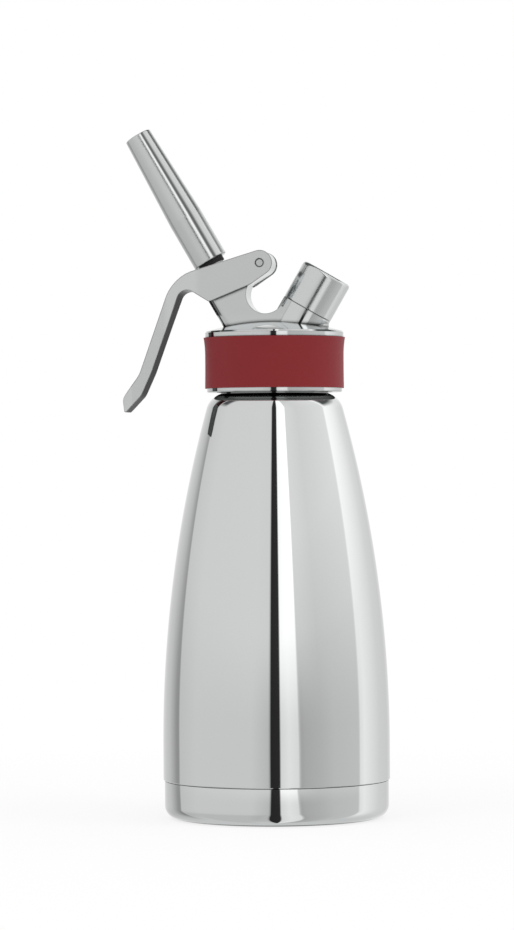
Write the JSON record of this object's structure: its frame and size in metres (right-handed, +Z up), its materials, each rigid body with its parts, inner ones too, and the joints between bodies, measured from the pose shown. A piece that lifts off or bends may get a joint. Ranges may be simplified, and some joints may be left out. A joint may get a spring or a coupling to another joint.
{
  "type": "whipped cream dispenser",
  "caption": "Double-wall steel whipped cream dispenser with a squeeze lever, a slanted screw-on nozzle, a capped gas charger port and a red silicone grip band.",
  "frame": {"origin": "middle of the base's resting face", "axes": "+Z up along the bottle's axis, -X towards the nozzle and lever, +X towards the charger port"},
  "size_m": [0.1239, 0.106, 0.3226],
  "materials": {
    "polished_steel": "polished",
    "bare_steel": "satin",
    "satin_steel": "satin",
    "turned_steel": "satin",
    "spring_steel": "satin",
    "brass_bush": "satin",
    "red_silicone": "matte",
    "pale_silicone": "matte",
    "black_rubber": "matte"
  },
  "bodies": {
    "bottle": {"outer_shell": "polished_steel", "base_cup": "polished_steel", "vacuum_floor": "bare_steel", "vacuum_seal_disc": "bare_steel", "inner_liner": "bare_steel", "neck_ring": "bare_steel"},
    "head_seal": {"head_gasket": "pale_silicone"},
    "head": {"head_body": "satin_steel", "grip_sleeve": "red_silicone", "valve_guide": "brass_bush", "stem_o_ring": "black_rubber", "valve_spring": "spring_steel", "charger_port": "turned_steel", "piercing_pin": "turned_steel", "charger_gasket": "black_rubber", "check_valve_retainer": "turned_steel", "check_valve_spring": "spring_steel"},
    "trigger": {"lever": "satin_steel", "lever_pin": "turned_steel"},
    "valve": {"stem_collar": "turned_steel", "valve_stem": "turned_steel", "valve_seal": "black_rubber"},
    "nozzle_seal": {"nozzle_gasket": "black_rubber"},
    "nozzle": {"nozzle": "satin_steel"},
    "cap_seal": {"cap_liner": "black_rubber"},
    "cap": {"port_cap": "satin_steel"},
    "gas_check": {"check_valve_disc": "black_rubber"}
  },
  "joints": [
    {"name": "head_lift", "type": "slide", "parent": "bottle", "child": "head_seal", "axis": [0, 0, 1], "range_m": [0, 0.01]},
    {"name": "head_turn", "type": "hinge", "parent": "head_seal", "child": "head", "pos_m": [0, 0, 0.221], "axis": [0, 0, 1], "range_deg": [0, 721]},
    {"name": "lever_pivot", "type": "hinge", "parent": "head", "child": "trigger", "pos_m": [-0.0055, 0, 0.2589], "axis": [0, -1, 0], "range_deg": [0, 8], "stiffness_Nm_per_rad": 0.4, "springref_deg": -5.73},
    {"name": "valve_slide", "type": "slide", "parent": "head", "child": "valve", "axis": [0.5, 0, -0.866], "range_m": [0, 0.0029], "stiffness_N_per_m": 300, "springref_m": -0.004, "deforming": ["valve_spring"]},
    {"name": "nozzle_lift", "type": "slide", "parent": "valve", "child": "nozzle_seal", "axis": [-0.5, 0, 0.866], "range_m": [0, 0.008]},
    {"name": "nozzle_turn", "type": "hinge", "parent": "nozzle_seal", "child": "nozzle", "pos_m": [-0.0298, 0, 0.2603], "axis": [-0.5, 0, 0.866], "range_deg": [0, 1441]},
    {"name": "cap_lift", "type": "slide", "parent": "head", "child": "cap_seal", "axis": [0.5, 0, 0.866], "range_m": [0, 0.008]},
    {"name": "cap_turn", "type": "hinge", "parent": "cap_seal", "child": "cap", "pos_m": [0.0156, 0, 0.2376], "axis": [0.5, 0, 0.866], "range_deg": [0, 1441]},
    {"name": "check_valve_slide", "type": "slide", "parent": "head", "child": "gas_check", "axis": [-0.5, 0, -0.866], "range_m": [0, 0.0008], "stiffness_N_per_m": 1, "springref_m": -0.001, "deforming": ["check_valve_spring"]}
  ],
  "couplings": [
    {"joint": "head_turn", "follows": "head_lift", "rad_per_m": 1256.6},
    {"joint": "lever_pivot", "follows": "valve_slide", "rad_per_m": 47.85},
    {"joint": "nozzle_turn", "follows": "nozzle_lift", "rad_per_m": 3141.6},
    {"joint": "cap_turn", "follows": "cap_lift", "rad_per_m": 3141.6}
  ]
}
